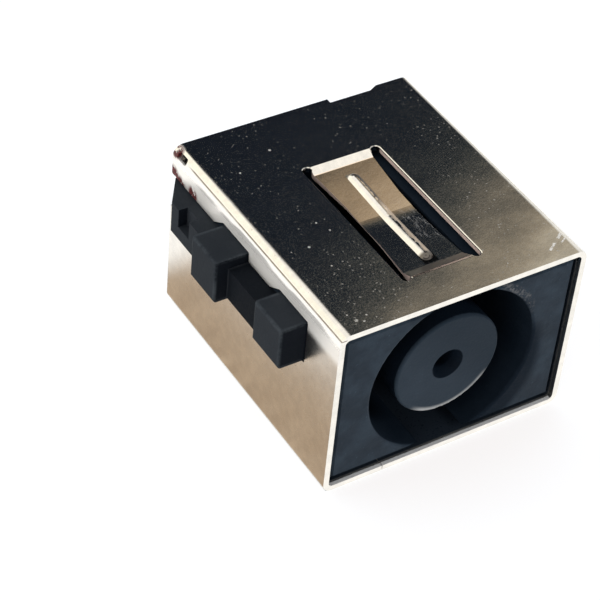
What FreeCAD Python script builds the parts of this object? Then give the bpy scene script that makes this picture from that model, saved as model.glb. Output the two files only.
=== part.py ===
import FreeCAD, Part
import math
import os

from FreeCAD import Vector

# A dc power jack for a 7.4 x 5.0 mm barrel plug with a centre pin: a moulded housing
# inside a folded sheet-metal shell. Millimetres. +Z is up, the socket opens towards -Y,
# and the origin is the middle of the shell's base.

# Shell: one sheet, folded round the housing and closed by a seam under it
shell_width = 11.3
shell_height = 8.2
shell_depth = 12.6
sheet = 0.25
bend_radius = 0.45

# Socket: what the barrel plug goes into
socket_radius = 3.8
socket_floor = 1.35
mouth_round = 0.12

# Centre post: a moulding of its own, with a spigot pressed into the socket's floor
post_radius = 2.4
spigot_radius = 1.6
post_recess = 0.35
post_round = 0.12
post_gap = 0.02

# Hole in the post for the plug's centre pin, with a tapered mouth
pin_hole_radius = 0.5
pin_mouth_radius = 0.71
pin_mouth_depth = 0.45
pin_hole_land = 0.95

# Housing inside the shell
housing_setback = 0.15
side_gap = 0.12
top_gap = 0.2
collar_gap = 0.02
collar_length = 1.9
front_chamfer = 0.15
housing_rear_inset = 1.5

# Contact strip lanced out of the shell's top
strip_inset = 1.65
strip_length = 7.4
strip_end_width = 2.8
strip_waist_width = 2.46
strip_taper = 2.2
strip_waist_depth = 0.38
strip_front_depth = 0.31
strip_rear_depth = 0.21
front_ramp = 0.65
rear_ramp = 0.3
ramp_bend = 0.16
middle_bend = 8.0
slot_outer_width = 3.64
slot_overrun = 0.05
slot_edge = 0.03
slot_end_land = 0.01
relief_margin = 0.1
relief_depth = 0.45

# Stiffening bead along the strip
bead_width = 0.54
bead_height = 0.15
bead_front_inset = 1.15
bead_rear_inset = 1.1

# Guide rail and two lugs moulded on the housing's left side
rail_drop = 1.4
rail_height = 1.45
rail_reach = 0.87
rail_root = 0.5
rail_rear_inset = 0.3
rail_lead = 1.28
lug_round = 0.14
front_lug_inset = 2.19
front_lug_length = 1.95
front_lug_drop = 1.0
front_lug_height = 1.9
front_lug_reach = 1.15
rear_lug_inset = 6.54
rear_lug_length = 1.88
rear_lug_drop = 0.95
rear_lug_height = 2.0
rear_lug_reach = 1.45
rail_pocket_inset = 2.15
rail_pocket_length = 0.85
rail_pocket_height = 0.85
rail_pocket_depth = 0.4

# Window in the shell's left wall for the rail and lugs
window_gap = 0.06
window_slope = 0.7
window_corner = 0.08

# Rear edge of the shell's top, and the small slot in the fold beside it
rear_notch_x = (1.6, 3.57)
rear_notch_depth = 0.25
rear_notch_ramp = 0.4
rear_shoulder = 0.05
fold_slot_length = 0.7
fold_slot_height = 0.26
fold_slot_inset = 0.3
fold_slot_drop = 0.22

# Butt seam along the base, locked by dovetail keys
seam_gap = 0.03
seam_x = -2.9
key_length = 0.85
key_neck = 0.9
key_head = 1.3
key_inset = 2.3

# Solder tab that the base sheet carries at the rear
tab_width = 1.8
tab_length = 2.0
tab_x = 3.1
tab_corner = 0.3

# Power contact: a stamped plate with a leaf above the post and one below it
contact_sheet = 0.2
leaf_width = 0.9
leaf_root_radius = 2.05
leaf_crest_radius = 2.56
leaf_tip_radius = 2.14
leaf_tip_inset = 1.15
leaf_crest_inset = 2.9
leaf_root_inset = 1.15
leaf_bend = 1.2
leaf_side_gap = 0.05
leaf_slot_gap = 0.04
groove_floor_radius = 1.72
groove_front_inset = 1.0
plate_thickness = 0.3
plate_width = 3.2
plate_hole_radius = 1.15
tail_width = 1.4
tail_reach = 1.9

# Pin contact: a slit tube inside the post
tube_radius = 0.62
tube_wall = 0.22
tube_neck_radius = 0.29
tube_neck_length = 1.4
tube_length = 6.0
tube_chamber_gap = 0.08
slit_width = 0.2
slit_length = 3.2
pin_tail_width = 0.8
pin_tail_thickness = 0.25

# Rear insulator, which holds both contacts in
insulator_gap = 0.04
insulator_inset = 0.2
collar_wall_gap = 0.06
tail_gap = 0.05

# Places worked out from the sizes above
front_y = -shell_depth / 2
rear_y = shell_depth / 2
axis_z = shell_height / 2
inner_width = shell_width - 2 * sheet
inner_height = shell_height - 2 * sheet
left_x = -shell_width / 2
face_y = front_y + housing_setback
housing_rear_y = rear_y - housing_rear_inset
floor_y = housing_rear_y - socket_floor
post_face_y = face_y + post_recess
strip_front_y = front_y + strip_inset
strip_rear_y = strip_front_y + strip_length
strip_middle_y = (strip_front_y + strip_rear_y) / 2
rail_top = shell_height - rail_drop
lug_root_x = -inner_width / 2 + side_gap + rail_root
chamber_radius = tube_radius + tube_chamber_gap
chamber_front_y = post_face_y + pin_mouth_depth + pin_hole_land
tail_end_y = rear_y + tail_reach
plate_front_y = housing_rear_y - plate_thickness
insulator_rear_y = rear_y - insulator_inset
contact_top_z = axis_z + leaf_root_radius
diagonal = math.sqrt(0.5)
beyond = 1.0
tolerance = 1e-6


def block(x, y, z):
    """Box between two limits along each of x, y and z."""
    return Part.makeBox(x[1] - x[0], y[1] - y[0], z[1] - z[0], Vector(x[0], y[0], z[0]))


def rod(radius, y_from, y_to):
    """Cylinder on the plug's axis."""
    return Part.makeCylinder(radius, y_to - y_from, Vector(0, y_from, axis_z), Vector(0, 1, 0))


def corner_arc(before, corner, after, radius):
    """Start, middle and end of the arc that rounds one corner."""
    back = (before - corner).normalize()
    ahead = (after - corner).normalize()
    half = back.getAngle(ahead) / 2
    setback = radius / math.tan(half)
    inward = (back + ahead).normalize()
    middle = corner + inward * (radius / math.sin(half) - radius)
    return corner + back * setback, middle, corner + ahead * setback


def rounded_edges(points, radii, closed):
    """Straight edges through the points, joined by tangent arcs with each corner's radius."""
    count = len(points)
    edges = []
    last = None
    turns = range(count) if closed else range(1, count - 1)
    start = None if closed else points[0]
    for i in turns:
        arc_start, middle, arc_end = corner_arc(
            points[i - 1], points[i], points[(i + 1) % count], radii[i]
        )
        if start is not None:
            edges.append(Part.LineSegment(start, arc_start).toShape())
        else:
            last = arc_start
        edges.append(Part.Arc(arc_start, middle, arc_end).toShape())
        start = arc_end
    end = last if closed else points[-1]
    edges.append(Part.LineSegment(start, end).toShape())
    return edges


def rounded_plate(points, radius, along):
    """Prism on a closed outline whose corners are all rounded to one radius."""
    wire = Part.Wire(rounded_edges(points, [radius] * len(points), True))
    return Part.Face(wire).extrude(along)


def sharp_plate(points, along):
    """Prism on a closed outline with sharp corners."""
    return Part.Face(Part.makePolygon(points + points[:1])).extrude(along)


def rectangle_bar(width, height, radius, y_from, y_to):
    """Bar along the plug's axis with a rounded rectangular section."""
    left, right = -width / 2, width / 2
    low, high = axis_z - height / 2, axis_z + height / 2
    corners = [Vector(left, y_from, low), Vector(right, y_from, low)]
    corners += [Vector(right, y_from, high), Vector(left, y_from, high)]
    return rounded_plate(corners, radius, Vector(0, y_to - y_from, 0))


def revolved(points):
    """Solid turned about the plug's axis from (radius, y) points; three-item points are arcs.

    An item (radius, y, (mid_radius, mid_y)) is reached by an arc through its middle.
    """
    edges = []
    places = [Vector(p[0], p[1], axis_z) for p in points]
    for i, point in enumerate(points):
        start = places[i - 1]
        if len(point) == 3:
            middle = Vector(point[2][0], point[2][1], axis_z)
            edges.append(Part.Arc(start, middle, places[i]).toShape())
        else:
            edges.append(Part.LineSegment(start, places[i]).toShape())
    face = Part.Face(Part.Wire(edges))
    return face.revolve(Vector(0, 0, axis_z), Vector(0, 1, 0), 360)


def fillet_where(solid, radius, test):
    """Round the straight edges whose two ends both pass the test."""
    edges = [e for e in solid.Edges if all(test(v.Point) for v in e.Vertexes)]
    return solid.makeFillet(radius, edges)


def chamfer_where(solid, size, test):
    """Chamfer the straight edges whose two ends both pass the test."""
    edges = [e for e in solid.Edges if all(test(v.Point) for v in e.Vertexes)]
    return solid.makeChamfer(size, edges)


def strip_line():
    """Corners of the strip's upper line, from front to rear, at x = 0."""
    ramp_foot_y = strip_front_y + front_ramp
    ramp_head_y = strip_rear_y - rear_ramp
    drops = [
        (strip_front_y - beyond, 0),
        (strip_front_y, 0),
        (ramp_foot_y, strip_front_depth),
        (strip_middle_y, strip_waist_depth),
        (ramp_head_y, strip_rear_depth),
        (strip_rear_y, 0),
        (strip_rear_y + beyond, 0),
    ]
    return [Vector(0, y, shell_height - drop) for y, drop in drops]


def strip_blank():
    """The strip before its slots are cut: the top sheet pressed down between two ramps."""
    bends = [ramp_bend, ramp_bend, ramp_bend, middle_bend, ramp_bend, ramp_bend, ramp_bend]
    upper = rounded_edges(strip_line(), bends, False)
    lower_points = [p - Vector(0, 0, sheet) for p in strip_line()]
    lower = rounded_edges(lower_points, bends, False)
    ends = [
        Part.LineSegment(strip_line()[0], lower_points[0]).toShape(),
        Part.LineSegment(strip_line()[-1], lower_points[-1]).toShape(),
    ]
    wire = Part.Wire(Part.sortEdges(upper + lower + ends)[0])
    half = strip_end_width / 2
    blank = Part.Face(wire).extrude(Vector(2 * half, 0, 0))
    blank.translate(Vector(-half, 0, 0))
    keep = block((-half, half), (strip_front_y, strip_rear_y), (0, shell_height + beyond))
    return blank.common(keep)


def side_slot(side):
    """Slot beside the strip; side is 1 or -1. It is wider where the strip has its waist."""
    outer = side * slot_outer_width / 2
    waist = side * strip_waist_width / 2
    neck = side * strip_end_width / 2
    y_front = strip_front_y - slot_overrun
    y_rear = strip_rear_y + slot_overrun
    corners = [
        (outer, y_front),
        (neck, y_front),
        (neck, y_front + front_ramp / 2),
        (waist, y_front + front_ramp / 2 + strip_taper),
        (waist, y_rear - front_ramp / 2 - strip_taper),
        (neck, y_rear - front_ramp / 2),
        (neck, y_rear),
        (outer, y_rear),
    ]
    end_round = abs(outer - neck) / 2 - slot_end_land
    edge_z = shell_height - slot_edge
    points = [Vector(x, y, edge_z) for x, y in corners]
    below = rounded_plate(points, end_round, Vector(0, 0, -sheet - strip_waist_depth - beyond))
    outline = Part.Wire(rounded_edges(points, [end_round] * len(points), True))
    mouth = outline.makeOffset2D(slot_edge)
    mouth.translate(Vector(0, 0, slot_edge))
    return below.fuse(Part.makeLoft([outline, mouth], True, True))


def capsule(start, end, radius):
    """Rod with ball ends."""
    along = end - start
    body = Part.makeCylinder(radius, along.Length, start, along)
    return body.fuse([Part.makeSphere(radius, start), Part.makeSphere(radius, end)])


def bead(inset):
    """The bead's round bar, smaller by the inset, following the strip's two slopes."""
    radius = ((bead_width / 2) ** 2 + bead_height**2) / (2 * bead_height)
    line = strip_line()
    sink = Vector(0, 0, radius - bead_height)

    def on_strip(y, a, b):
        return a + (b - a) * ((y - a.y) / (b.y - a.y)) - sink

    front = on_strip(strip_front_y + bead_front_inset, line[2], line[3])
    rear = on_strip(strip_rear_y - bead_rear_inset, line[3], line[4])
    knee = line[3] - sink
    return capsule(front, knee, radius - inset).fuse(capsule(knee, rear, radius - inset))


def contact_strip():
    """The strip with its bead pressed up from below."""
    half = strip_end_width / 2
    top = shell_height + beyond
    under = block((-half, half), (strip_front_y, strip_rear_y), (0, top)).cut(strip_blank())
    lower_side = sorted(under.Solids, key=lambda s: s.CenterOfMass.z)[0]
    strip = strip_blank().fuse(bead(0).cut(lower_side)).removeSplitter()
    return strip.cut(bead(sheet))


def front_lug():
    """Limits of the front lug along y and z."""
    y = front_y + front_lug_inset
    top = shell_height - front_lug_drop
    return (y, y + front_lug_length), (top - front_lug_height, top)


def rear_lug():
    """Limits of the rear lug along y and z."""
    y = front_y + rear_lug_inset
    top = shell_height - rear_lug_drop
    return (y, y + rear_lug_length), (top - rear_lug_height, top)


def side_window():
    """Opening in the left wall for the rail and lugs, open at the rear."""
    lugs = [front_lug(), rear_lug()]
    low = min([rail_top - rail_height] + [lug_z[0] for lug_y, lug_z in lugs]) - window_gap
    high = rail_top + window_gap
    ends = rear_y + beyond
    corners = [(ends, low), (lugs[0][0][0] - window_gap, low)]
    for number, (lug_y, lug_z) in enumerate(lugs):
        lug_high = lug_z[1] + window_gap
        if number > 0:
            corners.append((lug_y[0] - window_gap, high))
        corners.append((lug_y[0] - window_gap, lug_high))
        corners.append((lug_y[1] + window_gap, lug_high))
        corners.append((lug_y[1] + window_gap + window_slope, high))
    corners.append((ends, high))
    points = [Vector(left_x - beyond, y, z) for y, z in corners]
    return rounded_plate(points, window_corner, Vector(beyond + 2 * sheet, 0, 0))


def fold_slot():
    """Small slot through the upper left fold, near the rear."""
    radius = fold_slot_height / 2
    y_rear = rear_y - fold_slot_inset - radius
    y_front = rear_y - fold_slot_inset - fold_slot_length + radius
    z = shell_height - fold_slot_drop
    x = left_x - beyond
    reach = beyond + bend_radius
    along = Vector(1, 0, 0)
    slot = Part.makeCylinder(radius, reach, Vector(x, y_front, z), along)
    slot = slot.fuse(Part.makeCylinder(radius, reach, Vector(x, y_rear, z), along))
    return slot.fuse(block((x, x + reach), (y_front, y_rear), (z - radius, z + radius)))


def rear_notch():
    """Shallow step in the rear edge of the top sheet."""
    deep = rear_y - rear_notch_depth
    shallow = rear_y - rear_shoulder
    side = shell_width / 2 + beyond
    corners = [
        (rear_notch_x[0], rear_y + beyond),
        (rear_notch_x[0], deep),
        (rear_notch_x[1], deep),
        (rear_notch_x[1] + rear_notch_ramp, shallow),
        (side, shallow),
        (side, rear_y + beyond),
    ]
    low = shell_height - bend_radius
    return sharp_plate([Vector(x, y, low) for x, y in corners], Vector(0, 0, 2 * bend_radius))


def key_outline(y, grow, neck_x):
    """Dovetail key at y, grown on its three free sides."""
    neck = key_neck / 2 + grow
    head = key_head / 2 + grow
    reach = key_length + grow
    return [
        Vector(neck_x, y - neck, -beyond),
        Vector(reach, y - head, -beyond),
        Vector(reach, y + head, -beyond),
        Vector(neck_x, y + neck, -beyond),
    ]


def seam():
    """The gap of the butt seam along the base, bent round its dovetail keys."""
    up = Vector(0, 0, beyond + 2 * sheet)
    half = seam_gap / 2
    limits = (front_y - beyond, rear_y + beyond)
    gap = block((-half, half), limits, (-beyond, 2 * sheet))
    places = (front_y + key_inset, 0, rear_y - key_inset)
    for y in places:
        gap = gap.fuse(sharp_plate(key_outline(y, seam_gap, 0), up))
    for y in places:
        gap = gap.cut(sharp_plate(key_outline(y, 0, -seam_gap), up))
    gap.translate(Vector(seam_x, 0, 0))
    return gap


def solder_tab():
    """Tab at the rear of the base sheet."""
    left, right = tab_x - tab_width / 2, tab_x + tab_width / 2
    start = rear_y - beyond
    end = rear_y + tab_length
    corners = [Vector(left, start, 0), Vector(right, start, 0)]
    corners += [Vector(right, end, 0), Vector(left, end, 0)]
    return rounded_plate(corners, tab_corner, Vector(0, 0, sheet))


def make_shell():
    """Folded sheet: a closed tube with its contact strip, window, seam and solder tab."""
    tube = rectangle_bar(shell_width, shell_height, bend_radius, front_y, rear_y)
    inside = rectangle_bar(
        inner_width, inner_height, bend_radius - sheet, front_y - beyond, rear_y + beyond
    )
    tube = tube.cut(inside)
    half = strip_end_width / 2
    opening = block(
        (-half, half), (strip_front_y, strip_rear_y), (axis_z, shell_height + beyond)
    )
    tube = tube.cut(opening).fuse([contact_strip(), solder_tab()]).removeSplitter()
    cuts = [side_slot(1), side_slot(-1), side_window(), fold_slot(), rear_notch(), seam()]
    return tube.cut(cuts)


def socket_space():
    """The round socket with its rounded mouth, and the hole in its floor for the post."""
    mouth = socket_radius + mouth_round
    turn = mouth_round * (1 - diagonal)
    hole = spigot_radius + post_gap
    return revolved([
        (0, face_y - beyond),
        (mouth, face_y - beyond),
        (mouth, face_y),
        (socket_radius, face_y + mouth_round, (socket_radius + turn, face_y + turn)),
        (socket_radius, floor_y),
        (hole, floor_y),
        (hole, plate_front_y),
        (0, plate_front_y),
    ])


def leaf_spaces(low, high, y_from, y_to):
    """Spaces above and below the axis for the two leaves, between two distances from it."""
    half = leaf_width / 2 + leaf_side_gap
    spaces = []
    for side in (1, -1):
        z = sorted((axis_z + side * low, axis_z + side * high))
        spaces.append(block((-half, half), (y_from, y_to), z))
    return spaces


def leaf_grooves():
    """Grooves along the top and bottom of the post."""
    start = post_face_y + groove_front_inset
    return leaf_spaces(groove_floor_radius, post_radius + beyond, start, floor_y)


def leaf_slots():
    """Slots through the socket's floor, from the grooves to the power contact's plate."""
    inner = leaf_root_radius - contact_sheet - leaf_slot_gap
    return leaf_spaces(inner, leaf_root_radius + leaf_slot_gap, floor_y - beyond, plate_front_y)


def pin_space():
    """Tapered mouth, straight hole and chamber for the pin contact."""
    land_y = post_face_y + pin_mouth_depth
    return revolved([
        (0, post_face_y - beyond),
        (pin_mouth_radius, post_face_y - beyond),
        (pin_mouth_radius, post_face_y),
        (pin_hole_radius, land_y),
        (pin_hole_radius, chamber_front_y),
        (chamber_radius, chamber_front_y),
        (chamber_radius, housing_rear_y + beyond),
        (0, housing_rear_y + beyond),
    ])


def plate_space():
    """Recess in the housing's rear for the power contact's plate."""
    half = plate_width / 2 + tail_gap
    reach = leaf_root_radius + leaf_slot_gap
    return block((-half, half), (plate_front_y, housing_rear_y), (axis_z - reach, axis_z + reach))


def make_centre_post():
    """Post with a rounded end, a spigot, the pin hole and the contacts' spaces."""
    turn = post_round * (1 - diagonal)
    post = revolved([
        (0, post_face_y),
        (post_radius - post_round, post_face_y),
        (post_radius, post_face_y + post_round, (post_radius - turn, post_face_y + turn)),
        (post_radius, floor_y),
        (spigot_radius, floor_y),
        (spigot_radius, plate_front_y),
        (0, plate_front_y),
    ])
    return post.cut([pin_space()] + leaf_grooves())


def lug(lug_y, lug_z, reach):
    """Square lug on the housing's left side with its outer edges rounded."""
    outer = left_x - reach
    solid = block((outer, lug_root_x), lug_y, lug_z)
    return fillet_where(solid, lug_round, lambda p: abs(p.x - outer) < tolerance)


def side_rail():
    """Rail from the front lug to the rear, with a lead-in at its rear end and a pocket."""
    outer = left_x - rail_reach
    start = front_y + front_lug_inset + lug_round
    end = rear_y - rail_rear_inset
    low = rail_top - rail_height
    corners = [
        Vector(lug_root_x, start, low),
        Vector(outer, start, low),
        Vector(outer, end - rail_lead, low),
        Vector(left_x, end, low),
        Vector(lug_root_x, end, low),
    ]
    rail = sharp_plate(corners, Vector(0, 0, rail_height))
    pocket_rear = rear_y - rail_pocket_inset
    pocket = block(
        (outer - beyond, outer + rail_pocket_depth),
        (pocket_rear - rail_pocket_length, pocket_rear),
        (rail_top - rail_pocket_height, rail_top + beyond),
    )
    behind_housing = block(
        (-inner_width / 2, lug_root_x + beyond),
        (housing_rear_y, end + beyond),
        (0, rail_top + beyond),
    )
    return rail.cut([pocket, behind_housing])


def strip_relief():
    """Room in the housing's top for the strip to spring down."""
    half = strip_end_width / 2 + relief_margin
    y = (strip_front_y - relief_margin, strip_rear_y + relief_margin)
    top = shell_height - sheet
    return block((-half, half), y, (top - top_gap - relief_depth, top))


def make_housing():
    """Moulded body with the socket, and the rail and lugs on the left."""
    width = inner_width - 2 * side_gap
    height = inner_height - 2 * top_gap
    body = block(
        (-width / 2, width / 2),
        (face_y, housing_rear_y),
        (axis_z - height / 2, axis_z + height / 2),
    )
    body = chamfer_where(body, front_chamfer, lambda p: abs(p.y - face_y) < tolerance)
    collar = rectangle_bar(
        inner_width - 2 * collar_gap,
        inner_height - 2 * collar_gap,
        bend_radius - sheet,
        housing_rear_y - collar_length,
        housing_rear_y,
    )
    lugs = [lug(*front_lug(), front_lug_reach), lug(*rear_lug(), rear_lug_reach)]
    body = body.fuse([collar, side_rail()] + lugs).removeSplitter()
    return body.cut([socket_space(), plate_space(), strip_relief()] + leaf_slots())


def contact_leaf():
    """Leaf above the post, bowed out to meet the inside of the plug's barrel."""
    line = [
        (leaf_tip_radius, post_face_y + leaf_tip_inset),
        (leaf_crest_radius, post_face_y + leaf_crest_inset),
        (leaf_root_radius, floor_y - leaf_root_inset),
        (leaf_root_radius, housing_rear_y),
    ]
    outer = [Vector(-leaf_width / 2, y, axis_z + radius) for radius, y in line]
    inner = [p - Vector(0, 0, contact_sheet) for p in outer]
    bends = [leaf_bend] * len(line)
    edges = rounded_edges(outer, bends, False) + rounded_edges(inner, bends, False)
    edges.append(Part.LineSegment(outer[0], inner[0]).toShape())
    edges.append(Part.LineSegment(outer[-1], inner[-1]).toShape())
    wire = Part.Wire(Part.sortEdges(edges)[0])
    return Part.Face(wire).extrude(Vector(leaf_width, 0, 0))


def make_power_contact():
    """Stamped contact: a plate, two leaves and a tail turned to the rear."""
    plate = block(
        (-plate_width / 2, plate_width / 2),
        (plate_front_y, housing_rear_y),
        (axis_z - leaf_root_radius, contact_top_z),
    )
    half = tail_width / 2
    tail_z = (contact_top_z - contact_sheet, contact_top_z)
    tail = block((-half, half), (plate_front_y, tail_end_y), tail_z)
    upper = contact_leaf()
    lower = upper.mirror(Vector(0, 0, axis_z), Vector(0, 0, 1))
    contact = plate.fuse([tail, upper, lower]).removeSplitter()
    return contact.cut(rod(plate_hole_radius, plate_front_y - beyond, housing_rear_y + beyond))


def make_pin_contact():
    """Slit tube that grips the plug's centre pin, with a flat tail."""
    start = chamber_front_y + tube_chamber_gap
    end = start + tube_length
    bore = tube_radius - tube_wall
    neck_outer = tube_neck_radius + tube_wall
    tube = revolved([
        (tube_neck_radius, start),
        (neck_outer, start),
        (tube_radius, start + tube_neck_length),
        (tube_radius, end),
        (bore, end),
        (bore, start + tube_neck_length),
    ])
    slit = block(
        (-tube_radius, tube_radius),
        (start - beyond, start + slit_length),
        (axis_z - slit_width / 2, axis_z + slit_width / 2),
    )
    half = pin_tail_width / 2
    low = axis_z - pin_tail_thickness / 2
    tail = block((-half, half), (end - tube_wall, tail_end_y), (low, low + pin_tail_thickness))
    return tube.cut(slit).fuse(tail).removeSplitter()


def make_rear_insulator():
    """Moulded plate behind the housing, with a collar round the pin contact."""
    slab = rectangle_bar(
        inner_width - 2 * insulator_gap,
        inner_height - 2 * insulator_gap,
        bend_radius - sheet,
        housing_rear_y,
        insulator_rear_y,
    )
    slab = slab.fuse(rod(plate_hole_radius - collar_wall_gap, plate_front_y, housing_rear_y))
    pin_well = rod(chamber_radius, plate_front_y - beyond, insulator_rear_y + beyond)
    half = tail_width / 2 + tail_gap
    tail_slot = block(
        (-half, half),
        (housing_rear_y - beyond, insulator_rear_y + beyond),
        (contact_top_z - contact_sheet - tail_gap, contact_top_z + tail_gap),
    )
    return slab.cut([pin_well, tail_slot])


os.makedirs("parts", exist_ok=True)
pieces = {
    "shell": make_shell(),
    "housing": make_housing(),
    "centre_post": make_centre_post(),
    "power_contact": make_power_contact(),
    "pin_contact": make_pin_contact(),
    "rear_insulator": make_rear_insulator(),
}
for name, shape in pieces.items():
    shape.exportStep(f"parts/{name}.step")
    box = shape.BoundBox
    print(name, len(shape.Solids), shape.isValid(), round(shape.Volume, 3),
          [round(v, 2) for v in (box.XMin, box.XMax, box.YMin, box.YMax, box.ZMin, box.ZMax)])
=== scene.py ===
import math

import bpy
from mathutils import Matrix, Vector


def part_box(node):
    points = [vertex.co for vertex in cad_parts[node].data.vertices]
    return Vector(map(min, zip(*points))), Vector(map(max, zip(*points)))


# A dc power jack: bright nickel shell with a sprung strip, black moulded socket and lugs.
# The scene is in metres. The materials place their marks in millimetres on the object.
# The same origin and axes as the solids: +Z up, the socket opens to -Y, the lugs are on -X.

MM = 0.001

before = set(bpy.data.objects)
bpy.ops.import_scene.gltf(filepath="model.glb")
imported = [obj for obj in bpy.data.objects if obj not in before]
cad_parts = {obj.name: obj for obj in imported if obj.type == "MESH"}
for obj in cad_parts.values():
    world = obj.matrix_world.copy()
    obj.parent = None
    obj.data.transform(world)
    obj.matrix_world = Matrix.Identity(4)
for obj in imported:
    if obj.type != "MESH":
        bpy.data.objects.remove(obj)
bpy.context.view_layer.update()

# Places on the object in millimetres, measured on the solids
shell_low, shell_high = (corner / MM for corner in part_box("shell"))
LEFT = shell_low.x
RIGHT = shell_high.x
FRONT = shell_low.y
REAR = -FRONT
TOP = shell_high.z
AXIS = TOP / 2
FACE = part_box("housing")[0].y / MM
POST_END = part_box("centre_post")[0].y / MM

# Sizes in millimetres, as in the part's source
SHEET = 0.25
FOLD = 0.45
SOCKET_RADIUS = 3.8
POST_RADIUS = 2.4
PIN_MOUTH = 0.71
STRIP_LENGTH = 7.4
STRIP_FRONT = FRONT + 1.65
STRIP_REAR = STRIP_FRONT + STRIP_LENGTH
STRIP_MIDDLE = (STRIP_FRONT + STRIP_REAR) / 2
STRIP_HALF = 1.4
WAIST_HALF = 1.23
SLOT_HALF = 1.82
BEAD_HALF = 0.27
BEAD_FRONT = STRIP_FRONT + 1.15
BEAD_REAR = STRIP_REAR - 1.1

# Lugs on the left side: outer face, range in y and range in z, in millimetres
FRONT_LUG = (-6.8, (-4.11, -2.16), (5.3, 7.2))
REAR_LUG = (-7.1, (0.24, 2.12), (5.25, 7.25))

# Colours of the plated shell
NICKEL_DEEP = (0.69, 0.68, 0.655)
NICKEL_PALE = (0.77, 0.755, 0.72)
NICKEL_STREAK = (0.58, 0.56, 0.52)
DUST = (0.55, 0.54, 0.50)
SCRATCH = (1.0, 0.98, 0.94)
STAIN_RED = (0.14, 0.009, 0.011)
STAIN_BLACK = (0.006, 0.004, 0.004)
# Painted shade of the shell's inner side
INNER_SHADE = (0.030, 0.042, 0.060)
# Painted highlight along the left wall above the lugs
WALL_HIGHLIGHT = (0.98, 0.96, 0.92)
# Painted shade line along the left fold's crease
CREASE_SHADE = (0.16, 0.12, 0.09)
# Painted light on the lip of the base
LIP_LIGHT = (0.96, 0.95, 0.93)

# Colours of the strip in the shell's top
# Painted tan reflection on the strip's rear half
STRIP_REFLECTION_TAN = (0.82, 0.69, 0.56)
# Painted tan reflection and dark shade on the bead's right side
BEAD_REFLECTION_TAN = (0.62, 0.50, 0.38)
BEAD_SHADE = (0.03, 0.03, 0.035)
# Painted shade on the bead's front end
BEAD_TIP_SHADE = (0.13, 0.12, 0.11)
# Painted grey reflection on the strip's front ramp
RAMP_REFLECTION_GREY = (0.34, 0.33, 0.31)
# Sheared edge: matte, with a painted pinkish highlight colour
SHEARED_EDGE_HIGHLIGHT = (0.62, 0.48, 0.43)

# Colours of the black mouldings
HOUSING_DARK = (0.023, 0.034, 0.049)
HOUSING_LIGHT = (0.043, 0.061, 0.083)
LUG_DARK = (0.024, 0.029, 0.036)
LUG_LIGHT = (0.032, 0.037, 0.044)
# Painted shade on the lugs' front ends, painted highlight along their edges
LUG_END_SHADE = (0.003, 0.005, 0.010)
LUG_EDGE_HIGHLIGHT = (0.062, 0.072, 0.082)
# Painted shade in the socket's bore
BORE_SHADE = (0.006, 0.011, 0.019)
# Painted shade on the rail between the lugs
RAIL_SHADE = (0.0015, 0.003, 0.006)
SCUFF_GREY = (0.15, 0.155, 0.165)
POST_DARK = (0.033, 0.049, 0.069)
POST_LIGHT = (0.041, 0.058, 0.080)
# Painted shade on the post's upper right and side, painted highlight on its rim
POST_UPPER_SHADE = (0.020, 0.031, 0.045)
POST_SIDE_SHADE = (0.004, 0.008, 0.015)
POST_RIM_HIGHLIGHT = (0.55, 0.56, 0.56)
INSULATOR_DARK = (0.016, 0.019, 0.023)
INSULATOR_LIGHT = (0.026, 0.029, 0.033)

# Colours of the contacts
ALLOY_DEEP = (0.72, 0.58, 0.33)
ALLOY_PALE = (0.80, 0.70, 0.48)
# Painted shade on the contacts inside the jack
ALLOY_SHADE = (0.02, 0.022, 0.026)


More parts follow.
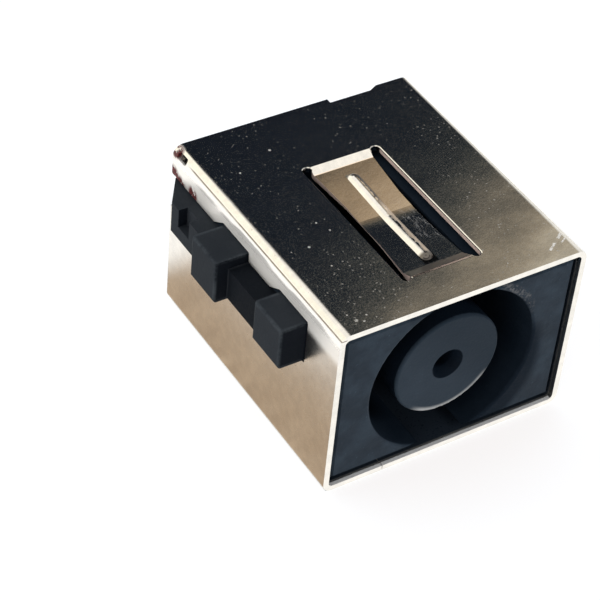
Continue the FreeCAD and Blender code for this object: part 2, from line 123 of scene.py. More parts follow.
class Nodes:
    """Short way to add nodes to one tree."""

    def __init__(self, tree):
        self.tree = tree
        tree.nodes.clear()

    def add(self, kind, settings=None, **inputs):
        """New node. Inputs are named, or i0, i1 and so on by their place."""
        node = self.tree.nodes.new(kind)
        for name, value in (settings or {}).items():
            setattr(node, name, value)
        for name, value in inputs.items():
            self.put(node, name, value)
        return node

    def put(self, node, name, value):
        """Link a socket to an input, or set the input's value."""
        by_place = name[0] == "i" and name[1:].isdigit()
        key = int(name[1:]) if by_place else name.replace("_", " ")
        socket = node.inputs[key]
        if isinstance(value, bpy.types.NodeSocket):
            self.tree.links.new(value, socket)
        else:
            socket.default_value = value

    def math(self, operation, a, b=0.0, clamp=False):
        node = self.add("ShaderNodeMath", {"operation": operation, "use_clamp": clamp}, i0=a, i1=b)
        return node.outputs[0]

    def joined(self, operation, values):
        """The operation over all the values, one after the other."""
        total = values[0]
        for value in values[1:]:
            total = self.math(operation, total, value)
        return total

    def times(self, *values):
        return self.joined("MULTIPLY", values)

    def plus(self, *values):
        return self.joined("ADD", values)

    def largest(self, *values):
        return self.joined("MAXIMUM", values)

    def without(self, value, mask, share=1.0):
        """The value, less by the share where the mask is 1."""
        return self.times(value, self.math("SUBTRACT", 1.0, self.times(mask, share)))

    def from_middle(self, value, middle):
        """How far the value is from the middle, to either side."""
        return self.math("ABSOLUTE", self.math("SUBTRACT", value, middle))

    def vector(self, operation, a, b=(0, 0, 0)):
        node = self.add("ShaderNodeVectorMath", {"operation": operation}, i0=a, i1=b)
        return node.outputs["Value"] if operation in ("LENGTH", "DISTANCE") else node.outputs[0]

    def step(self, value, low, high, out_low=0.0, out_high=1.0):
        """Smooth step of the value from low to high."""
        node = self.add(
            "ShaderNodeMapRange",
            {"interpolation_type": "SMOOTHSTEP"},
            Value=value, From_Min=low, From_Max=high, To_Min=out_low, To_Max=out_high,
        )
        return node.outputs[0]

    def mix(self, factor, a, b):
        """Colour a at 0 and b at 1."""
        node = self.add("ShaderNodeMix", {"data_type": "RGBA"}, i0=factor)
        for index, value in ((6, a), (7, b)):
            if isinstance(value, bpy.types.NodeSocket):
                self.tree.links.new(value, node.inputs[index])
            else:
                node.inputs[index].default_value = (*value, 1.0)
        return node.outputs[2]

    def ramp(self, value, stops):
        """Colour ramp through (place, grey or colour) stops."""
        node = self.add("ShaderNodeValToRGB", None, Fac=value)
        ramp = node.color_ramp
        while len(ramp.elements) < len(stops):
            ramp.elements.new(0.5)
        for element, (place, colour) in zip(ramp.elements, stops):
            element.position = place
            if isinstance(colour, (int, float)):
                colour = (colour, colour, colour)
            element.color = (*colour, 1.0)
        return node.outputs[0]

    def noise(self, vector, scale, detail=2.0, rough=0.5):
        node = self.add("ShaderNodeTexNoise", None, Vector=vector, Scale=scale, Detail=detail,
                        Roughness=rough)
        return node.outputs["Fac"]

    def stretched_noise(self, vector, stretch, scale, detail, rough):
        return self.noise(self.vector("MULTIPLY", vector, stretch), scale, detail, rough)

    def millimetres(self):
        """Place on the object in millimetres."""
        place = self.add("ShaderNodeTexCoord").outputs["Object"]
        scaled = self.add("ShaderNodeVectorMath", {"operation": "SCALE"}, i0=place)
        scaled.inputs["Scale"].default_value = 1 / MM
        return scaled.outputs[0]

    def apart(self, vector):
        node = self.add("ShaderNodeSeparateXYZ", None, i0=vector)
        return node.outputs[0], node.outputs[1], node.outputs[2]

    def facing(self):
        """The x, y and z of the direction in which the surface faces."""
        return self.apart(self.add("ShaderNodeNewGeometry").outputs["True Normal"])

    def diffuse(self, colour):
        return self.add("ShaderNodeBsdfDiffuse", None, Color=(*colour, 1)).outputs[0]

    def glow(self, colour):
        """Emission in a colour, or in the colour of a socket."""
        if not isinstance(colour, bpy.types.NodeSocket):
            colour = (*colour, 1)
        return self.add("ShaderNodeEmission", None, Color=colour, Strength=1.0).outputs[0]

    def mix_shaders(self, factor, a, b):
        """Shader a at 0 and b at 1."""
        return self.add("ShaderNodeMixShader", None, i0=factor, i1=a, i2=b).outputs[0]


class Look:
    """Colour, share of metal, roughness and bump height of one surface, built up mark by mark."""

    def __init__(self, n, base, rough, height, metal=0.0):
        self.n = n
        self.base = base
        self.rough = rough
        self.height = height
        self.metal = metal

    def tint(self, mask, colour, share=1.0):
        """Move the colour towards another one where the mask is 1."""
        factor = mask if share == 1.0 else self.n.times(mask, share)
        self.base = self.n.mix(factor, self.base, colour)

    def dull(self, mask, share):
        """Take away a share of the metal where the mask is 1."""
        self.metal = self.n.without(self.metal, mask, share)

    def roughen(self, mask, amount):
        self.rough = self.n.plus(self.rough, self.n.times(mask, amount))


def material(name):
    made = bpy.data.materials.new(name)
    made.use_nodes = True
    return made, Nodes(made.node_tree)


def finish_surface(n, look, bump_distance):
    """Principled surface with the look's colour, metal, roughness and bump."""
    shader = n.add("ShaderNodeBsdfPrincipled", None, Base_Color=look.base, Metallic=look.metal,
                   Roughness=look.rough)
    bump = n.add("ShaderNodeBump", None, Height=look.height, Distance=bump_distance)
    n.tree.links.new(bump.outputs[0], shader.inputs["Normal"])
    out = n.add("ShaderNodeOutputMaterial")
    n.tree.links.new(shader.outputs[0], out.inputs[0])
    return shader


def dots(n, place, spots):
    """Mask that is 1 in round spots of (x, y, z, radius) in millimetres."""
    total = 0.0
    for x, y, z, radius in spots:
        far = n.vector("DISTANCE", place, (x, y, z))
        total = n.largest(total, n.step(far, radius, radius * 0.5))
    return total


def line_marks(n, place, marks):
    """Mask that is 1 along short scratches from (x, y) to (x, y) on the top, in millimetres."""
    x, y, _ = n.apart(place)
    total = 0.0
    for x0, y0, x1, y1, width in marks:
        length = math.hypot(x1 - x0, y1 - y0)
        ux = (x1 - x0) / length
        uy = (y1 - y0) / length
        dx = n.math("SUBTRACT", x, x0)
        dy = n.math("SUBTRACT", y, y0)
        along = n.plus(n.times(dx, ux), n.times(dy, uy))
        across = n.math("SUBTRACT", n.times(dx, uy), n.times(dy, ux))
        near = n.step(n.math("ABSOLUTE", across), width, width * 0.3)
        started = n.step(along, -0.05, 0.05)
        not_ended = n.step(along, length + 0.05, length - 0.05)
        total = n.largest(total, n.times(near, started, not_ended))
    return total


def from_axis(n, x, z, centre_x=0.0, centre_z=AXIS):
    """Distance in millimetres from a line along y; by itself, from the plug's axis."""
    across = n.math("POWER", n.math("SUBTRACT", x, centre_x), 2.0)
    upwards = n.math("POWER", n.math("SUBTRACT", z, centre_z), 2.0)
    return n.math("SQRT", n.plus(across, upwards))


def face_scuffs(n, x, y, z):
    """Mask of the scuffs beside the socket's upper right edge, on the front face."""
    arc = from_axis(n, x, z)
    ring = n.times(n.step(arc, SOCKET_RADIUS, SOCKET_RADIUS + 0.1),
                   n.step(arc, SOCKET_RADIUS + 0.45, SOCKET_RADIUS + 0.3))
    span = n.times(n.step(x, 1.6, 2.0), n.step(x, 3.7, 3.3), n.step(z, AXIS + 0.9, AXIS + 1.4))
    place = n.add("ShaderNodeCombineXYZ", None, i0=x, i1=0.0, i2=z).outputs[0]
    broken = n.step(n.noise(place, 4.0, 3.0, 0.7), 0.47, 0.58)
    on_face = n.step(y, FACE + 0.15, FACE + 0.05)
    return n.times(ring, span, broken, on_face)


def lug_edges(n, x, y, z, lug):
    """Mask along the edges of one lug."""
    outer, y_range, z_range = lug
    far = [n.from_middle(x, outer)]
    for value, (start, end) in ((y, y_range), (z, z_range)):
        far.append(n.math("MINIMUM", n.from_middle(value, start), n.from_middle(value, end)))
    near = [n.step(value, 0.16, 0.05) for value in far]
    pairs = [n.times(near[i], near[i - 1]) for i in range(3)]
    start, end = y_range
    beside = n.times(n.step(y, start - 0.06, start), n.step(y, end + 0.06, end))
    outside = n.step(x, LEFT - 0.05, LEFT - 0.15)
    return n.times(beside, outside, n.largest(*pairs))


def lug_marks(n, x, y, z, look):
    """Duller lugs and rail, with painted shade on the front ends and on the stretch between, and
    painted highlights along the edges.
    """
    outside = n.step(x, LEFT + 0.15, LEFT + 0.05)
    look.roughen(outside, 0.25)
    look.tint(outside, n.mix(n.step(look.height, 0.9, 2.0), LUG_DARK, LUG_LIGHT))
    # Painted shade: faces turned to the front are made nearly black
    ends = n.times(outside, n.step(n.facing()[1], -0.5, -0.8))
    look.tint(ends, LUG_END_SHADE, 0.75)
    # Painted highlight: lighter, broken lines along the lug edges
    worn = n.largest(lug_edges(n, x, y, z, FRONT_LUG), lug_edges(n, x, y, z, REAR_LUG))
    worn = n.times(worn, n.step(look.height, 1.0, 2.0, 0.0, 0.9))
    look.tint(worn, LUG_EDGE_HIGHLIGHT)
    front_lug_end = FRONT_LUG[1][1]
    rear_lug_start = REAR_LUG[1][0]
    # Painted shade: the rail between the two lugs is darkened
    between = n.times(outside, n.step(y, front_lug_end - 0.09, front_lug_end + 0.06),
                      n.step(y, rear_lug_start - 0.02, rear_lug_start - 0.14))
    look.tint(between, RAIL_SHADE, 0.75)


def bore_shade_mask(n, x, y, z):
    """Mask of the painted shade in the bore, a soft painted shade at its lower right, and painted shade
    on the housing's hidden top.
    """
    bore = n.times(n.step(from_axis(n, x, z), SOCKET_RADIUS + 0.1, SOCKET_RADIUS + 0.02),
                   n.step(y, FACE + 0.02, FACE + 0.1))
    soft = n.times(n.step(from_axis(n, x, z, 0.6, AXIS - 0.8), 4.0, 3.4), n.step(x, -0.2, 1.2),
                   n.step(z, 6.0, 4.4))
    hidden_top = n.times(n.step(z, TOP - 1.0, TOP - 0.9), n.step(y, FACE + 0.15, FACE + 0.25),
                         n.step(x, LEFT + 0.15, LEFT + 0.25))
    return n.times(n.largest(bore, soft, hidden_top), n.step(y, 5.0, 4.0))


def housing_marks(n, x, y, z, look):
    """Marks of the housing: lugs with painted shade and highlights, painted shade in the bore, and
    scuffs.
    """
    lug_marks(n, x, y, z, look)
    # Painted shade: the bore, its lower right and the hidden top are tinted dark navy
    dark = bore_shade_mask(n, x, y, z)
    look.tint(dark, BORE_SHADE, 0.85)
    scuffs = face_scuffs(n, x, y, z)
    look.tint(scuffs, SCUFF_GREY, 0.8)
    look.roughen(dark, 0.2)
    look.height = n.math("SUBTRACT", look.height, n.times(scuffs, 2.0))


def post_marks(n, x, y, z, look):
    """Painted shade on the side, in the pin hole and on the upper right, and a painted highlight on the
    rim at the lower left.
    """
    arc = from_axis(n, x, z)
    # Painted shade: darker towards the upper right
    look.tint(n.step(n.plus(x, z), 2.2, 6.0, 0.0, 0.8), POST_UPPER_SHADE)
    # Painted shade: the post's side and the pin hole are made nearly black
    side = n.largest(n.step(y, POST_END + 0.1, POST_END + 0.14),
                     n.step(arc, PIN_MOUTH + 0.02, PIN_MOUTH - 0.02))
    look.tint(side, POST_SIDE_SHADE, 0.9)
    # Painted highlight: a pale crescent on the rim at the lower left
    rim = n.times(n.step(arc, POST_RADIUS - 0.3, POST_RADIUS - 0.1),
                  n.step(y, POST_END + 0.13, POST_END + 0.09))
    lean = n.math("SUBTRACT", n.math("SUBTRACT", z, AXIS), x)
    lower_left = n.times(n.step(z, AXIS - 1.0, AXIS - 1.5), n.step(n.from_middle(lean, -2.0), 1.9, 0.8))
    look.tint(n.times(rim, lower_left), POST_RIM_HIGHLIGHT)


def top_dirt(n, place, on_top, fine):
    """Masks of all dirt and scratches on the top, and of the scratches by themselves."""
    specks = [
        (-2.3, 4.4, 0.07), (-4.1, 3.65, 0.06), (-3.0, -0.3, 0.05), (-2.75, -0.9, 0.055),
        (-4.0, -1.4, 0.07), (-3.8, -2.7, 0.05), (-4.6, -5.7, 0.09), (-4.35, -5.85, 0.06),
        (-4.1, -5.6, 0.05), (-4.75, -5.3, 0.05),
    ]
    specks = dots(n, place, [(x, y, TOP, radius) for x, y, radius in specks])
    shaken = n.add("ShaderNodeTexNoise", None, Vector=place, Scale=6.0, Detail=2.0)
    ragged = n.vector("ADD", place, n.vector("MULTIPLY", shaken.outputs["Color"], (0.16, 0.16, 0.0)))
    scattered = n.add("ShaderNodeTexVoronoi", {"feature": "F1", "voronoi_dimensions": "2D"},
                      Vector=ragged, Scale=2.6)
    small = n.step(scattered.outputs["Distance"], 0.11, 0.03)
    in_patches = n.step(n.noise(place, 0.9, 1.0, 0.5), 0.46, 0.54)
    dust = n.times(small, in_patches, on_top)
    scratches = line_marks(n, place, [
        (5.25, -5.05, 4.95, -5.25, 0.10),
        (4.7, -5.4, 4.25, -5.7, 0.08),
        (4.95, -5.5, 5.3, -5.3, 0.05),
    ])
    scratches = n.times(scratches, on_top, n.step(fine, 0.40, 0.55, 0.3, 1.0))
    dirt = n.largest(specks, n.times(dust, 0.45), scratches)
    return n.times(dirt, n.step(fine, 0.3, 0.6, 0.25, 0.8)), scratches


def rear_stains(n, place):
    """Mask of the stains near the rear end of the left wall and fold."""
    spots = dots(n, place, [
        (-5.6, 6.1, 8.05, 0.42),
        (-5.65, 6.15, 6.9, 0.6),
        (-5.65, 5.6, 6.75, 0.55),
        (-5.65, 4.6, 6.95, 0.5),
    ])
    return n.times(spots, n.step(n.noise(place, 3.2, 4.0, 0.7), 0.36, 0.46))


def inner_shade_mask(n, x, y, z):
    """Mask of the shell's inner side, which gets a painted shade."""
    return n.times(
        n.step(n.math("ABSOLUTE", x), RIGHT - SHEET + 0.03, RIGHT - SHEET),
        n.step(z, TOP - 0.64, TOP - 0.68),
        n.step(z, SHEET - 0.05, SHEET - 0.01),
        n.step(y, FACE + 0.03, FACE + 0.15),
        n.step(y, REAR - 0.05, REAR - 0.1),
    )


def wall_highlight_band(n, x, z, stain):
    """Mask of the painted highlight band along the left wall, above the lugs."""
    band = n.times(n.step(x, LEFT + 0.15, LEFT + 0.05), n.step(z, TOP - 1.5, TOP - 1.1),
                   n.step(z, TOP - 0.05, TOP - 0.15))
    return n.without(band, stain)


def fold_crease_shade(n, x, y, z, streak):
    """Mask of the thin broken painted shade line where the left fold begins."""
    line = n.step(n.from_middle(z, TOP - 0.2), 0.035, 0.012)
    on_left = n.step(x, LEFT + 0.35, LEFT + 0.25)
    before_slot = n.step(y, 5.2, 4.6)
    return n.times(line, on_left, before_slot, n.step(streak, 0.3, 0.5, 0.5, 0.9))


def base_lip_light(n, y, z, across):
    """Mask of the lip of the base in front of the housing, which gets painted light."""
    return n.times(
        n.step(y, FACE + 0.03, FACE + 0.01),
        n.step(z, SHEET + 0.05, SHEET + 0.02),
        n.step(across, RIGHT - SHEET + 0.05, RIGHT - SHEET),
        n.step(n.facing()[2], 0.6, 0.8),
    )


def strip_side_highlights(n, y, z, across, low):
    """Mask of the sheared edges beside the slots that face left, which get a painted pinkish highlight.
    """
    return n.times(
        n.step(n.facing()[0], -0.6, -0.8),
        n.step(across, WAIST_HALF - 0.08, WAIST_HALF - 0.03),
        n.step(across, SLOT_HALF + 0.08, SLOT_HALF + 0.04),
        n.step(z, TOP - 0.43, TOP - 0.40),
        n.step(n.from_middle(y, STRIP_MIDDLE), STRIP_LENGTH / 2 - 0.1, STRIP_LENGTH / 2 - 0.2),
        low,
    )


def front_ramp_reflection(n, y, across, low):
    """Mask of the ramp at the strip's front end, which gets a painted grey reflection."""
    return n.times(
        n.step(y, STRIP_FRONT + 0.70, STRIP_FRONT + 0.65),
        n.step(y, STRIP_FRONT - 0.03, STRIP_FRONT + 0.05),
        n.step(across, STRIP_HALF + 0.04, STRIP_HALF + 0.02),
        low,
    )


def strip_rear_reflection(n, x, y, across, low):
    """Mask of the painted tan reflection on the strip's rear half, with the left side of the bead left
    out.
    """
    beside_bead = n.largest(n.step(x, 0.01 - BEAD_HALF, -0.01 - BEAD_HALF), n.step(x, 0.0, 0.05))
    behind_bead = n.step(y, BEAD_REAR + 0.25, BEAD_REAR + 0.3)
    return n.times(
        n.step(y, -1.2, -0.6),
        n.step(y, STRIP_REAR - 0.29, STRIP_REAR - 0.33),
        n.step(across, STRIP_HALF + 0.06, STRIP_HALF + 0.04),
        n.largest(beside_bead, behind_bead),
        low,
    )


def bead_flank_reflection(n, place, x, y, low):
    """Mask of the painted reflection on the bead's right side, with a ragged edge along its crest."""
    wander = n.step(n.stretched_noise(place, (2.0, 1.0, 2.0), 1.4, 3.0, 0.7), 0.35, 0.65, -0.07, 0.07)
    return n.times(
        n.step(n.plus(x, wander), -0.02, 0.06),
        n.step(x, BEAD_HALF + 0.03, BEAD_HALF - 0.01),
        n.step(y, BEAD_REAR + 0.1, BEAD_REAR - 0.05),
        n.step(y, BEAD_FRONT, BEAD_FRONT + 0.1),
        low,
    )


def bead_tip_shade(n, y, across, low):
    """Mask of the painted shade on the bead's front end."""
    return n.times(
        n.step(y, BEAD_FRONT + 0.2, BEAD_FRONT),
        n.step(y, BEAD_FRONT - 0.5, BEAD_FRONT - 0.4),
        n.step(across, BEAD_HALF + 0.07, BEAD_HALF + 0.03),
        low,
    )


def strip_scuffs(n, place, x, y, low):
    """Mask of the scuffs on the strip's front half, right of the bead."""
    return n.times(
        n.step(n.stretched_noise(place, (5.0, 1.6, 5.0), 1.8, 4.0, 0.7), 0.50, 0.66),
        n.step(x, 0.3, 0.6),
        n.step(x, 1.35, 1.2),
        n.step(y, 0.2, -0.4),
        n.step(y, -3.2, -2.4),
        low,
    )


def strip_marks(n, place, x, y, z, look):
    """Marks of the strip: painted tan reflection on the rear half, painted reflection and shade on the
    bead, painted grey reflection on the front ramp, scuffs, and sheared sides with a painted highlight.
    """
    across = n.math("ABSOLUTE", x)
    low = n.times(n.step(z, TOP - 0.07, TOP - 0.09), n.step(z, TOP - 1.0, TOP - 0.8))
    # Painted reflection: tan over the strip's rear half
    look.tint(strip_rear_reflection(n, x, y, across, low), STRIP_REFLECTION_TAN)
    painted_flank = bead_flank_reflection(n, place, x, y, low)
    # Painted reflection on the bead's right side: tan and less metal at the front, dark shade at the
    # rear
    look.dull(n.times(painted_flank, n.step(y, 0.4, -0.6)), 0.75)
    look.tint(painted_flank, n.mix(n.step(y, -0.6, 0.4), BEAD_REFLECTION_TAN, BEAD_SHADE))
    ramp = front_ramp_reflection(n, y, across, low)
    # Painted reflection: the front ramp is tinted grey
    look.tint(ramp, RAMP_REFLECTION_GREY)
    # Painted shade on the bead's front end
    look.tint(bead_tip_shade(n, y, across, low), BEAD_TIP_SHADE)
    look.dull(strip_scuffs(n, place, x, y, low), 0.25)
    sheared = strip_side_highlights(n, y, z, across, low)
    # Sheared edges: made matte and less metallic, and tinted with a painted pinkish highlight
    look.tint(sheared, SHEARED_EDGE_HIGHLIGHT)
    look.roughen(n.largest(ramp, sheared), 0.25)
    look.dull(sheared, 0.85)


def nickel():
    """Bright nickel plate: slightly wavy, with faint mottling, dust, scratches and stains, and painted
    shade, highlights and reflections at single places.
    """
    made, n = material("shell_metal")
    place = n.millimetres()
    x, y, z = n.apart(place)
    mottle = n.noise(place, 2.6, 4.0, 0.6)
    fine = n.noise(place, 14.0, 3.0, 0.6)
    wave = n.noise(place, 0.35, 1.0, 0.4)
    streak = n.stretched_noise(place, (9.0, 0.7, 9.0), 1.6, 3.0, 0.6)

    base = n.mix(n.step(mottle, 0.35, 0.7), NICKEL_DEEP, NICKEL_PALE)
    height = n.plus(wave, n.times(fine, 0.02), n.times(mottle, 0.05))
    look = Look(n, base, n.step(fine, 0.3, 0.75, 0.07, 0.14), height, 1.0)
    look.tint(n.step(streak, 0.62, 0.8, 0.0, 0.4), NICKEL_STREAK)

    on_top = n.step(z, TOP - 0.1, TOP - 0.01)
    dirt, scratches = top_dirt(n, place, on_top, fine)
    look.tint(dirt, DUST)
    look.tint(scratches, SCRATCH)
    stain = rear_stains(n, place)
    look.tint(stain, n.mix(n.step(fine, 0.45, 0.6), STAIN_RED, STAIN_BLACK))
    look.roughen(n.largest(dirt, stain), 0.4)
    look.dull(n.largest(n.times(dirt, 0.8), stain), 1.0)

    below_fold = n.step(z, TOP - FOLD, TOP - FOLD - 0.3)
    look.roughen(below_fold, 0.2)
    painted_inner_shade = inner_shade_mask(n, x, y, z)
    # Painted shade: the inner side is tinted dark and its metal dulled
    look.tint(painted_inner_shade, INNER_SHADE)
    look.dull(painted_inner_shade, 0.6)
    band = wall_highlight_band(n, x, z, stain)
    # Painted highlight: a near-white, less metallic band on the wall above the lugs
    look.tint(band, WALL_HIGHLIGHT, 0.9)
    look.dull(band, 0.6)
    look.roughen(band, 0.1)
    # Painted shade: a thin brown line where the left fold begins
    look.tint(fold_crease_shade(n, x, y, z, streak), CREASE_SHADE)
    strip_marks(n, place, x, y, z, look)
    lip = base_lip_light(n, y, z, n.math("ABSOLUTE", x))
    # Painted light: the lip is made pale and nearly without metal, so it does not mirror the dark face
    look.tint(lip, LIP_LIGHT)
    look.dull(lip, 0.9)
    finish_surface(n, look, 0.02 * MM)
    return made


def moulding(name, dark, light, grain, rough_low, rough_high, add_marks=None):
    """Moulded black plastic: fine grain, slight colour change and worn spots.

    add_marks changes the look at single places on the piece.
    """
    made, n = material(name)
    place = n.millimetres()
    cloud = n.noise(place, 0.9, 3.0, 0.55)
    fine = n.noise(place, grain, 3.0, 0.6)
    base = n.mix(n.step(cloud, 0.3, 0.72), dark, light)
    rough = n.step(n.plus(n.times(cloud, 0.5), n.times(fine, 0.5)), 0.35, 0.65, rough_low, rough_high)
    look = Look(n, base, rough, n.plus(fine, n.times(cloud, 2.0)))
    worn_spots = n.step(fine, 0.64, 0.78, 0.0, 0.35)
    look.tint(worn_spots, tuple(3.0 * part for part in light))
    if add_marks:
        add_marks(n, *n.apart(place), look)
    shader = finish_surface(n, look, 0.012 * MM)
    shader.inputs["Specular IOR Level"].default_value = 0.04
    return made


def contact_alloy():
    """Plated copper alloy of the contacts, with a painted shade inside the jack."""
    made, n = material("contact_metal")
    place = n.millimetres()
    cloud = n.noise(place, 1.5, 3.0, 0.6)
    drawn = n.stretched_noise(place, (8.0, 0.8, 8.0), 2.0, 3.0, 0.6)
    base = n.mix(n.step(cloud, 0.3, 0.7), ALLOY_DEEP, ALLOY_PALE)
    look = Look(n, base, n.step(drawn, 0.3, 0.7, 0.16, 0.30), n.plus(drawn, cloud), 1.0)
    # Painted shade: the contacts are nearly black inside the jack
    inside = n.step(n.apart(place)[1], REAR, REAR - 0.4, 0.0, 0.95)
    look.tint(inside, ALLOY_SHADE)
    finish_surface(n, look, 0.006 * MM)
    return made


def finish_pieces():
    """Give each CAD piece its material."""
    alloy = contact_alloy()
    finishes = {
        "shell": nickel(),
        "housing": moulding("housing_plastic", HOUSING_DARK, HOUSING_LIGHT, 9.0, 0.38, 0.55,
                            housing_marks),
        "centre_post": moulding("post_plastic", POST_DARK, POST_LIGHT, 9.0, 0.38, 0.5, post_marks),
        "power_contact": alloy,
        "pin_contact": alloy,
        "rear_insulator": moulding("insulator_plastic", INSULATOR_DARK, INSULATOR_LIGHT, 7.0,
                                   0.45, 0.62),
    }
    for name, made in finishes.items():
        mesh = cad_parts[name].data
        mesh.materials.clear()
        mesh.materials.append(made)


def mirrored_ground(n, place, covered):
    """Colour of the ground that the metal mirrors, with painted shadows: tan on the left, graded grey
    on the right, darker under the part.
    """
    x, y, _ = n.apart(place)
    shade_edge = n.plus(x, n.step(y, -1.0, 1.5, 0.6, -0.6))
    shade = n.times(
        n.step(shade_edge, LEFT - 5.1, LEFT - 4.25),
        n.step(x, LEFT + 0.15, LEFT - 0.1),
        n.step(y, REAR + 2.7, REAR + 0.9),
        n.step(y, FRONT - 0.7, FRONT),
    )
    blotch = n.step(n.noise(place, 0.9, 3.0, 0.6), 0.35, 0.65)
    # Painted shadow: a tan patch beside the left wall, which only the metal sees
    tan = n.mix(blotch, (0.49, 0.36, 0.245), (0.61, 0.46, 0.32))
    away = n.math("DIVIDE", n.math("SUBTRACT", x, RIGHT + 0.05), 40.0, True)
    # Painted shadow: grey, darkest at the right wall and paler further away
    grey = n.ramp(away, [(0.0, 0.16), (0.08, 0.30), (0.25, 0.62), (0.6, 0.95), (1.0, 1.0)])
    on_right = n.times(n.step(x, RIGHT - 0.05, RIGHT + 0.05),
                       n.step(n.math("ABSOLUTE", y), REAR + 0.1, REAR - 0.7))
    colour = n.mix(on_right, (1.35, 1.32, 1.27), grey)
    colour = n.mix(shade, colour, tan)
    # Painted shade: a darker ground under the part
    shade_beneath = n.mix(n.step(n.plus(x, y), -9.0, 9.0), (0.34, 0.335, 0.33), (0.80, 0.78, 0.75))
    return n.mix(covered, colour, shade_beneath)


def floor_material():
    """White with a faint shadow to the camera, and the mirrored ground with its painted shadows to the
    metal.
    """
    made, n = material("floor")
    place = n.millimetres()
    x, y, _ = n.apart(place)
    # Under the part no light reaches the floor
    covered = n.times(n.step(n.math("ABSOLUTE", x), RIGHT - 0.15, RIGHT - SHEET),
                      n.step(n.math("ABSOLUTE", y), REAR - 0.05, REAR - 0.1))
    mirrored = n.glow(mirrored_ground(n, place, covered))
    faint = n.diffuse((0.34, 0.46, 0.52))
    white = n.add("ShaderNodeAddShader", None, i0=n.glow((0.80, 0.73, 0.70)), i1=faint).outputs[0]
    seen = n.mix_shaders(covered, white, faint)
    paths = n.add("ShaderNodeLightPath").outputs
    lit = n.diffuse((0.9, 0.89, 0.88))
    shader = n.mix_shaders(paths["Is Camera Ray"], lit, seen)
    shader = n.mix_shaders(paths["Is Glossy Ray"], shader, mirrored)
    # Clear from below, so the underside can be looked at
    clear = n.add("ShaderNodeBsdfTransparent").outputs[0]
    from_below = n.add("ShaderNodeNewGeometry").outputs["Backfacing"]
    shader = n.mix_shaders(from_below, shader, clear)
    out = n.add("ShaderNodeOutputMaterial")
    n.tree.links.new(shader, out.inputs[0])
    return made


def make_floor():
    """Round pale floor just under the part."""
    radius = 0.9
    count = 96
    turns = [2 * math.pi * i / count for i in range(count)]
    points = [(0, 0, 0)] + [(radius * math.cos(turn), radius * math.sin(turn), 0) for turn in turns]
    faces = [(0, 1 + i, 1 + (i + 1) % count) for i in range(count)]
    mesh = bpy.data.meshes.new("floor")
    mesh.from_pydata(points, [], faces)
    mesh.materials.append(floor_material())
    floor = bpy.data.objects.new("floor", mesh)
    floor.location = (0, 0, -0.02 * MM)
    bpy.context.scene.collection.objects.link(floor)


def room_colours(n, azimuth, height):
    """Colours of the dark back of the room, paler towards the right and higher up."""
    sideways = n.math("SUBTRACT", azimuth, 35.0)
    upwards = n.times(n.math("SUBTRACT", height, 37.0), 0.7)
    share = n.math("DIVIDE", n.plus(sideways, upwards, 10.0), 30.0, True)
    return n.ramp(share, [
        (0.0, (0.005, 0.008, 0.015)),
        (0.42, (0.009, 0.013, 0.020)),
        (0.483, (0.012, 0.018, 0.024)),
        (0.517, (0.022, 0.028, 0.033)),
        (0.55, (0.047, 0.056, 0.055)),
        (0.583, (0.125, 0.115, 0.098)),
        (0.617, (0.26, 0.22, 0.165)),
        (0.65, (0.35, 0.285, 0.205)),
        (0.677, (0.43, 0.37, 0.27)),
        (0.705, (0.64, 0.57, 0.45)),
        (1.0, (1.0, 0.97, 0.90)),
    ])


def mirrored_room(n, azimuth, height):
    """Studio that the metal mirrors, by azimuth and height above the ground in degrees."""
    cream = (1.45, 1.36, 1.16)
    tone = n.mix(n.step(azimuth, 6.0, -8.0), room_colours(n, azimuth, height), cream)
    tone = n.mix(n.step(azimuth, 46.0, 53.0), tone, (1.1, 1.07, 1.0))
    # Grey front of the room with a soft bright band, which the other sides mirror
    band = n.times(n.step(height, 8.0, 22.0), n.step(height, 46.0, 34.0))
    front = n.mix(band, (0.20, 0.20, 0.205), (0.78, 0.76, 0.73))
    tone = n.mix(n.step(n.math("ABSOLUTE", azimuth), 84.0, 100.0), tone, front)
    # White above, a greyer ceiling overhead and a dark line at the ground
    tone = n.mix(n.step(height, 46.5, 52.0), tone, (1.3, 1.24, 1.14))
    tone = n.mix(n.step(height, 74.0, 89.0), tone, (0.42, 0.415, 0.40))
    return n.mix(n.step(height, 3.5, 1.5), tone, (0.05, 0.04, 0.035))


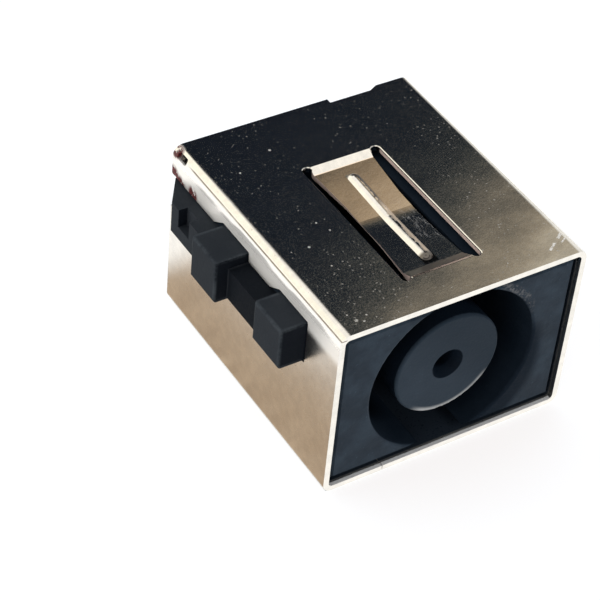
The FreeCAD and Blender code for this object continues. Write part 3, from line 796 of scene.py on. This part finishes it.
def make_world():
    """White to the camera, soft light from behind and the left, and a studio for the metal."""
    world = bpy.data.worlds.new("studio")
    bpy.context.scene.world = world
    world.use_nodes = True
    n = Nodes(world.node_tree)
    x, y, z = n.apart(n.add("ShaderNodeTexCoord").outputs["Generated"])
    azimuth = n.times(n.math("ARCTAN2", x, y), 180 / math.pi)
    height = n.times(n.math("ARCSINE", z), 180 / math.pi)
    light = n.mix(n.step(y, -0.1, 0.6), (0.16, 0.18, 0.21), (1.05, 1.06, 1.08))
    light = n.mix(n.step(x, -0.3, -0.9), light, (1.8, 1.77, 1.72))
    paths = n.add("ShaderNodeLightPath").outputs
    tone = n.mix(paths["Is Glossy Ray"], light, mirrored_room(n, azimuth, height))
    tone = n.mix(paths["Is Camera Ray"], tone, (1, 1, 1))
    background = n.add("ShaderNodeBackground", None, Color=tone, Strength=1.0)
    out = n.add("ShaderNodeOutputWorld")
    n.tree.links.new(background.outputs[0], out.inputs[0])


def add_key_light():
    """Soft round light from the front right. The metal doesn't mirror it."""
    place = Vector((0.15, -0.13, 0.085))
    target = Vector((0, 0, 0.004))
    data = bpy.data.lights.new("key", "AREA")
    data.shape = "DISK"
    data.size = 0.06
    data.energy = 0.14
    data.color = (1.0, 0.97, 0.94)
    lamp = bpy.data.objects.new("key", data)
    lamp.location = place
    lamp.rotation_euler = (target - place).to_track_quat("-Z", "Y").to_euler()
    lamp.visible_glossy = False
    bpy.context.scene.collection.objects.link(lamp)


def make_camera():
    """Looks down on the front left corner, as in the photo."""
    azimuth = math.radians(-35.1424)
    elevation = math.radians(41.7448)
    roll = math.radians(5.7312)
    distance = 83.1461 * MM
    aim = Vector((-3.1872, 0, 4.0402)) * MM
    towards = Vector((math.sin(azimuth) * math.cos(elevation),
                      -math.cos(azimuth) * math.cos(elevation), math.sin(elevation)))
    flat_right = (-towards).cross(Vector((0, 0, 1))).normalized()
    flat_up = flat_right.cross(-towards)
    right = flat_right * math.cos(roll) + flat_up * math.sin(roll)
    up = flat_up * math.cos(roll) - flat_right * math.sin(roll)
    data = bpy.data.cameras.new("camera")
    data.sensor_width = 36
    data.lens = 125.238
    data.clip_start = 0.005
    camera = bpy.data.objects.new("camera", data)
    turn = Matrix((right, up, towards)).transposed().to_4x4()
    camera.matrix_world = Matrix.Translation(aim + towards * distance) @ turn
    bpy.context.scene.collection.objects.link(camera)
    bpy.context.scene.camera = camera


finish_pieces()
make_floor()
make_world()
add_key_light()
make_camera()
bpy.context.scene.view_settings.view_transform = "Standard"
